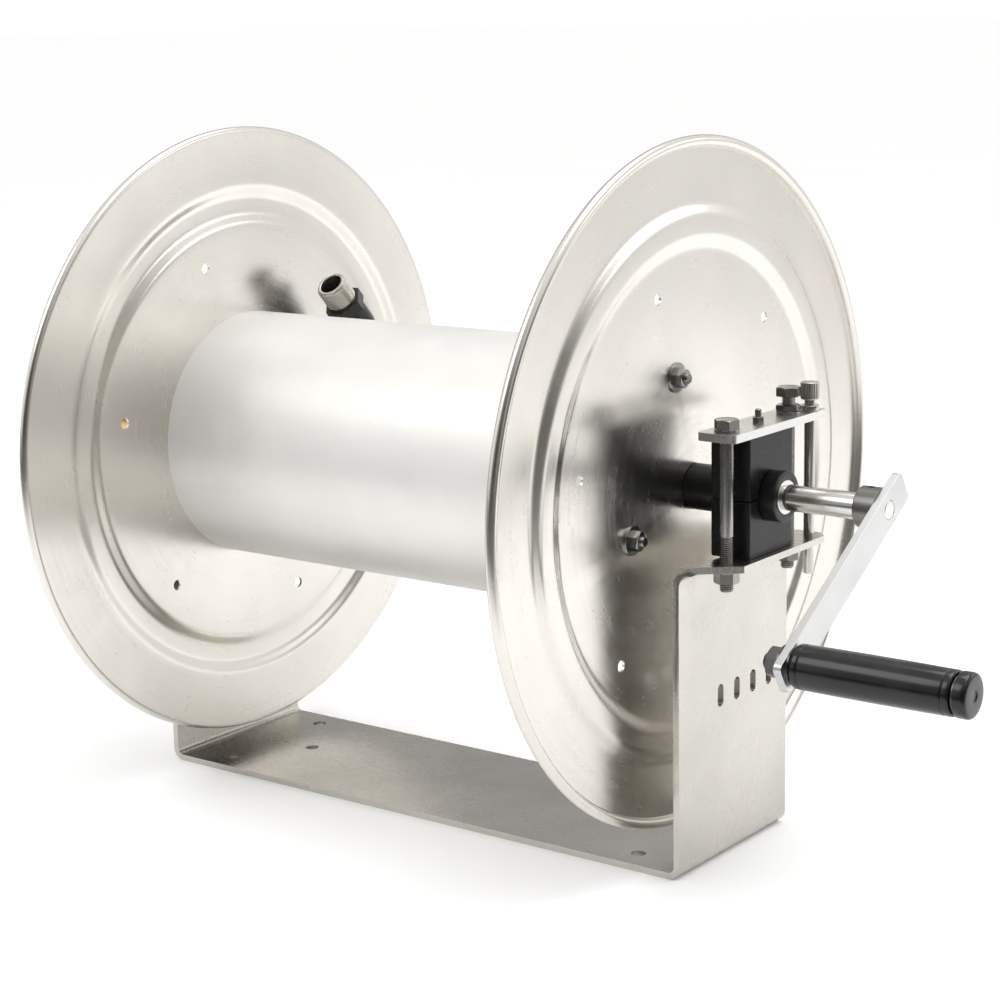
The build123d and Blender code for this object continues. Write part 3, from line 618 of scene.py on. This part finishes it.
def build_bearing_fasteners(word, side):
    """Two bolts through each bearing. The right bearing's rear one stands proud, to set the drag."""
    bolt_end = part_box(f"bearing_bolts_{word}")[0].z
    washer_low, washer_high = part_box(f"bearing_washers_{word}")
    nut_low, nut_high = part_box(f"bearing_nuts_{word}")
    x = (washer_low.x + washer_high.x) / 2
    washer_r = 9 * MM
    thick = 2 * MM
    washer = rounded([(0, BOLT_R), (0, washer_r), (thick, washer_r), (thick, BOLT_R)], 0.4 * MM)
    bore = BOLT_R - 0.4 * MM
    bolts, washers, nuts = bmesh.new(), bmesh.new(), bmesh.new()
    for index, y in enumerate((washer_low.y + washer_r, washer_high.y - washer_r)):
        proud = 11 * MM if (side > 0 and y > 0) else 0.0
        under_head = washer_high.z + proud
        turn = radians(12 + 31 * index)
        add_hexagon(bolts, BOLT_FLATS, 7 * MM, upward(x, y, under_head), turn=turn)
        threaded = under_head - bolt_end if proud else 40 * MM
        if not proud:
            plain_from = bolt_end + threaded
            plain = under_head - plain_from
            shank = rounded([(0, 0), (0, BOLT_R), (plain, BOLT_R), (plain, 0)], 0.2 * MM)
            add_lathe(bolts, shank, upward(x, y, plain_from), segments=48)
        add_threaded(bolts, BOLT_R, BOLT_PITCH, threaded, upward(x, y, bolt_end))
        for z in (washer_low.z, washer_high.z - thick):
            add_lathe(washers, washer, upward(x, y, z), segments=64)
        place = basis((x, y, nut_high.z), (0, 0, -1))
        add_hexagon(nuts, BOLT_FLATS, nut_high.z - nut_low.z, place, bore=bore, turn=turn + 0.3)
    stand_for(f"bearing_bolts_{word}", bolts)
    stand_for(f"bearing_washers_{word}", washers)
    stand_for(f"bearing_nuts_{word}", nuts)


def build_drag_jam_nut():
    low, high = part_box("drag_jam_nut")
    centre = middle("drag_jam_nut")
    place = upward(centre.x, centre.y, low.z)
    bm = bmesh.new()
    add_hexagon(bm, BOLT_FLATS, high.z - low.z, place, bore=4.6 * MM, turn=0.7, both=True)
    stand_for("drag_jam_nut", bm)


# ---------------------------------------------------------------- shafts, collars and lock pin
def turned(node, outline, corner, centre=AXIS, segments=96):
    """Replaces a CAD node with a part turned about a line along X."""
    bm = bmesh.new()
    add_lathe(bm, rounded(outline, corner), along_x(centre=centre), segments=segments)
    return stand_for(node, bm)


def build_shafts():
    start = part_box("crank_shaft")[0].x
    radius = half_height("crank_shaft")
    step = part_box("shaft_collar_right")[1].x + 0.5 * MM
    arm_low, arm_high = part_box("crank_arm")
    neck = 9.5 * MM
    spigot = 7 * MM
    turned("crank_shaft", [
        (start, 0, 0), (start, radius), (step, radius), (step, neck, 0.0),
        (arm_low.x, neck), (arm_low.x, spigot, 0.0), (arm_high.x, spigot, 1.0 * MM), (arm_high.x, 0, 0),
    ], 0.8 * MM)
    for word, bore in (("right", radius), ("left", MANIFOLD_R)):
        for node in (f"shaft_spacer_{word}", f"shaft_collar_{word}"):
            near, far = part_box(node)
            outer = (far.y - near.y) / 2
            turned(node, [(near.x, bore), (near.x, outer), (far.x, outer), (far.x, bore)], 1.0 * MM)


def build_lock_pin():
    low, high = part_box("lock_pin")
    centre = middle("lock_pin")
    radius = 4 * MM
    length = high.z - low.z
    outline = rounded([(0, 0, 0), (0, radius, 1.6 * MM), (length, radius, 0.3 * MM), (length, 0, 0)], 0.0)
    bm = bmesh.new()
    add_lathe(bm, outline, upward(centre.x, centre.y, low.z), segments=48)
    stand_for("lock_pin", bm)

    low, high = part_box("lock_pin_collar")
    outer = (high.x - low.x) / 2
    height = high.z - low.z
    outline = rounded([(0, radius), (0, outer), (height, outer), (height, radius)], 0.6 * MM)
    bm = bmesh.new()
    add_lathe(bm, outline, upward(centre.x, centre.y, low.z), segments=64)
    stand_for("lock_pin_collar", bm)
    build_knob(centre)


def build_knob(centre):
    """Knob with flutes round its side, which run out before its edges."""
    low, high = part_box("lock_pin_knob")
    outer = (high.x - low.x) / 2
    height = high.z - low.z
    flutes = 24
    depth = 0.5 * MM
    runout = 1.5 * MM
    segments = flutes * 6
    place = upward(centre.x, centre.y, low.z)
    profile = rounded([(0, 0, 0), (0, outer), (height, outer), (height, 0, 0)], 1.2 * MM)
    bm = bmesh.new()
    rings = []
    for k in range(segments):
        a = 2 * pi * k / segments
        wave = 0.5 - 0.5 * cos(flutes * a)
        outline = []
        for x, r in profile:
            side = min(1.0, max(0.0, (r / outer - 0.8) / 0.15))
            edge = min(1.0, x / runout, (height - x) / runout)
            outline.append((x, r - depth * side * edge * wave))
        rings.append(new_ring(bm, outline, place, a))
    bridge(bm, rings, profile)
    stand_for("lock_pin_knob", bm)


# ---------------------------------------------------------------- grip and its spindle
def build_grip():
    """Grip that swells a little between its ends, with a groove behind each lip."""
    low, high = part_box("grip")
    centre = middle("grip")
    radius = half_height("grip")
    sleeve = half_height("grip_sleeve")
    length = high.x - low.x
    waist = 0.35 * MM
    swell = [(low.x + length * t, radius - waist * (1 - sin(pi * t))) for t in (0.25, 0.5, 0.75)]
    lip = 5 * MM
    turned("grip", [
        (low.x, sleeve, 0), (low.x, radius - waist, 2.4 * MM), (low.x + lip, radius - waist, 0.3 * MM),
        (low.x + lip + 0.6 * MM, radius - waist - 0.7 * MM, 0.3 * MM),
        (low.x + lip + 1.2 * MM, radius - waist, 0.3 * MM),
        *[(x, r, 14 * MM) for x, r in swell],
        (high.x - lip - 1.2 * MM, radius - waist, 0.3 * MM),
        (high.x - lip - 0.6 * MM, radius - waist - 0.7 * MM, 0.3 * MM),
        (high.x - lip, radius - waist, 0.3 * MM),
        (high.x, radius - waist, 2.0 * MM), (high.x, sleeve, 0),
    ], 0.4 * MM, centre=centre, segments=128)

    cap_low, cap_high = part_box("grip_end_cap")
    outer = half_height("grip_end_cap")
    spindle_head = 11 * MM
    wall = 3 * MM
    turned("grip_end_cap", [
        (cap_low.x, spindle_head), (cap_low.x, outer, 0.8 * MM), (cap_high.x, outer, 3.2 * MM),
        (cap_high.x, 4.0 * MM, 0.4 * MM), (cap_high.x - 0.8 * MM, 3.4 * MM, 0.3 * MM),
        (cap_high.x - 0.8 * MM, 0, 0), (cap_high.x - wall, 0, 0), (cap_high.x - wall, spindle_head),
    ], 0.3 * MM, centre=centre, segments=128)

    nut_low, nut_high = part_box("spindle_nut")
    nut_place = basis((nut_high.x, centre.y, centre.z), (-1, 0, 0))
    bm = bmesh.new()
    add_hexagon(bm, 19 * MM, nut_high.x - nut_low.x, nut_place, bore=5.4 * MM, turn=0.5)
    stand_for("spindle_nut", bm)

    spindle_low, spindle_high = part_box("grip_spindle")
    rod = 6 * MM
    threaded = nut_high.x - spindle_low.x
    head = 6 * MM
    bm = bmesh.new()
    add_thread(bm, rod, 1.5 * MM, threaded, basis((spindle_low.x, centre.y, centre.z), (1, 0, 0)))
    body = rounded([
        (spindle_low.x + 0.4 * MM, 0, 0), (spindle_low.x + 0.4 * MM, rod - 0.9 * MM, 0.4 * MM),
        (nut_high.x, rod - 0.9 * MM, 0), (nut_high.x, rod, 0),
        (spindle_high.x - head, rod, 0), (spindle_high.x - head, spindle_head),
        (spindle_high.x, spindle_head), (spindle_high.x, 0, 0),
    ], 0.3 * MM)
    add_lathe(bm, body, along_x(centre=centre), segments=64)
    stand_for("grip_spindle", bm)


# ---------------------------------------------------------------- outlet
def build_outlet_nipple():
    """Male thread with a smooth lead, a plain root at the hexagon and a bored mouth."""
    end = middle("outlet_nipple")
    riser = middle("riser_pipe")
    out = Vector((0, riser.y - AXIS.y, riser.z - AXIS.z)).normalized()
    forward = Vector((0, -out.z, out.y))
    along = [v.co.dot(forward) for v in nodes["outlet_nipple"].data.vertices]
    start, stop = min(along), max(along)
    origin = Vector((end.x, 0, 0)) + out * end.dot(out) + forward * start
    radius = 13.3 * MM
    bore = 9.5 * MM
    root = 12.3 * MM
    length = stop - start
    threaded = 20 * MM
    plain = length - threaded
    bm = bmesh.new()
    shell = rounded([
        (0, bore), (0, root), (plain, root, 0.2 * MM), (plain, radius - 1.1 * MM, 0.0),
        (length, radius - 1.1 * MM, 0.6 * MM), (length, bore, 0.8 * MM),
    ], 0.0)
    add_lathe(bm, shell, basis(origin, forward, (1, 0, 0)), segments=96)
    place = basis(origin + forward * plain, forward, (1, 0, 0))
    add_thread(bm, radius, 1.81 * MM, threaded - 0.7 * MM, place, segments=72)
    stand_for("outlet_nipple", bm)


# ---------------------------------------------------------------- stage, light, camera
def build_stage():
    """Pale floor. Reflections see its front and its right part darker, as in a partly dark studio."""
    material, tree_nodes, links, shader = new_material("floor_finish")
    coords = tree_nodes.new("ShaderNodeTexCoord").outputs["Object"]
    tone = noise_at(tree_nodes, links, coords, 2.0, 3.0)
    pale = ramp(tree_nodes, links, tone, 0.3, 0.7, (0.94, 0.94, 0.935), (0.955, 0.955, 0.95))
    parts = tree_nodes.new("ShaderNodeSeparateXYZ")
    links.new(coords, parts.inputs[0])
    front = spread(tree_nodes, links, parts.outputs["Y"], -0.55, -1.25, 0.0, 0.93)
    across = node_math(tree_nodes, links, "SUBTRACT", parts.outputs["X"], parts.outputs["Y"])
    right = spread(tree_nodes, links, across, 1.0, 1.5, 0.0, 0.93)
    dim = node_math(tree_nodes, links, "MAXIMUM", front, right)
    reflected = tree_nodes.new("ShaderNodeLightPath").outputs["Is Glossy Ray"]
    factor = node_math(tree_nodes, links, "MULTIPLY", dim, reflected)
    links.new(blend(tree_nodes, links, factor, pale, (0.02, 0.019, 0.016)), shader.inputs["Base Color"])
    shader.inputs["Roughness"].default_value = 0.8
    shader.inputs["Specular IOR Level"].default_value = 0.2
    bpy.ops.mesh.primitive_plane_add(size=300)
    floor = bpy.context.object
    floor.name = "floor"
    floor.data.materials.append(material)


def add_area(name, place, target, size, power):
    light = bpy.data.lights.new(name, "AREA")
    light.shape = "RECTANGLE"
    light.size, light.size_y = size
    light.energy = power
    thing = bpy.data.objects.new(name, light)
    bpy.context.scene.collection.objects.link(thing)
    thing.location = place
    thing.rotation_euler = (Vector(target) - Vector(place)).to_track_quat("-Z", "Y").to_euler()


def towards(tree_nodes, links, direction, way, low, high, amount):
    """How far the direction looked in lies within a soft cone about way, times amount."""
    dot = tree_nodes.new("ShaderNodeVectorMath")
    dot.operation = "DOT_PRODUCT"
    links.new(direction, dot.inputs[0])
    dot.inputs[1].default_value = Vector(way).normalized()
    return spread(tree_nodes, links, dot.outputs["Value"], low, high, 0.0, amount)


def light_scene():
    """White all round for the camera. Reflections see it darker at the front, right and back left."""
    world = bpy.data.worlds.new("studio")
    world.use_nodes = True
    tree_nodes, links = world.node_tree.nodes, world.node_tree.links
    room = tree_nodes["Background"]
    direction = tree_nodes.new("ShaderNodeTexCoord").outputs["Generated"]
    front = towards(tree_nodes, links, direction, (0.45, -0.88, -0.1), 0.35, 0.85, 1.0)
    rear = towards(tree_nodes, links, direction, (-0.72, 0.66, 0.2), 0.72, 0.97, 0.62)
    right = towards(tree_nodes, links, direction, (0.95, 0.17, -0.03), 0.84, 0.96, 0.9)
    sides = node_math(tree_nodes, links, "MAXIMUM", rear, right)
    dark = node_math(tree_nodes, links, "MAXIMUM", front, sides)
    walls = blend(tree_nodes, links, dark, (1.0, 0.995, 0.985), (0.06, 0.055, 0.045))
    links.new(walls, room.inputs["Color"])
    room.inputs["Strength"].default_value = 1.02
    plain = tree_nodes.new("ShaderNodeBackground")
    plain.inputs["Color"].default_value = (1, 1, 1, 1)
    plain.inputs["Strength"].default_value = 1.06
    choose = tree_nodes.new("ShaderNodeMixShader")
    links.new(tree_nodes.new("ShaderNodeLightPath").outputs["Is Glossy Ray"], choose.inputs["Fac"])
    links.new(plain.outputs[0], choose.inputs[1])
    links.new(room.outputs[0], choose.inputs[2])
    links.new(choose.outputs[0], tree_nodes["World Output"].inputs["Surface"])
    bpy.context.scene.world = world
    add_area("key", (-1.2, -2.2, 2.6), (0, 0, 0.3), (1.6, 1.6), 22)
    add_area("top", (0.4, 0.6, 2.8), (0, 0, 0.3), (2.2, 1.4), 30)
    add_area("right_glow", (1.25, 1.0, 0.9), (1.15, 1.0, 0), (0.6, 0.9), 4)
    bpy.context.scene.view_settings.view_transform = "Standard"


def place_camera():
    """Telephoto view from the front right, a little above the shaft."""
    yaw, pitch, roll = radians(37.0), radians(11.93), radians(-1.08)
    camera = bpy.data.objects.new("camera", bpy.data.cameras.new("camera"))
    camera.data.lens = 81.95
    camera.data.sensor_width = 36
    turn = Matrix.Rotation(yaw, 4, "Z") @ Matrix.Rotation(pi / 2 - pitch, 4, "X")
    turn = turn @ Matrix.Rotation(roll, 4, "Z")
    camera.matrix_world = Matrix.Translation((1.0874, -1.3884, 0.6117)) @ turn
    bpy.context.scene.collection.objects.link(camera)
    bpy.context.scene.camera = camera


# ---------------------------------------------------------------- the reel
paint_cad_nodes()
for word, side in (("right", 1), ("left", -1)):
    build_disc(word, side)
    build_bearing_fasteners(word, side)
build_drum()
build_tie_fasteners()
build_drag_jam_nut()
build_shafts()
build_lock_pin()
build_grip()
build_outlet_nipple()

# Nodes that keep their CAD shape with rounded edges, and the width of the rounding in mm.
SOFTENED = {
    "frame": 0.5, "bearing_lower_right": 0.8, "bearing_upper_right": 0.8, "bearing_lower_left": 0.8,
    "bearing_upper_left": 0.8, "bearing_strap_right": 0.5, "bearing_strap_left": 0.5, "crank_arm": 0.8,
    "crank_hub": 0.6, "outlet_elbow": 0.7, "swivel_body": 0.7, "swivel_end_cap": 0.6,
    "grease_nipple_right": 0.2, "grease_nipple_left": 0.2,
}
for node, width in SOFTENED.items():
    finish_with(softened(node, width * MM), slot_of_node[node])

build_stage()
light_scene()
place_camera()
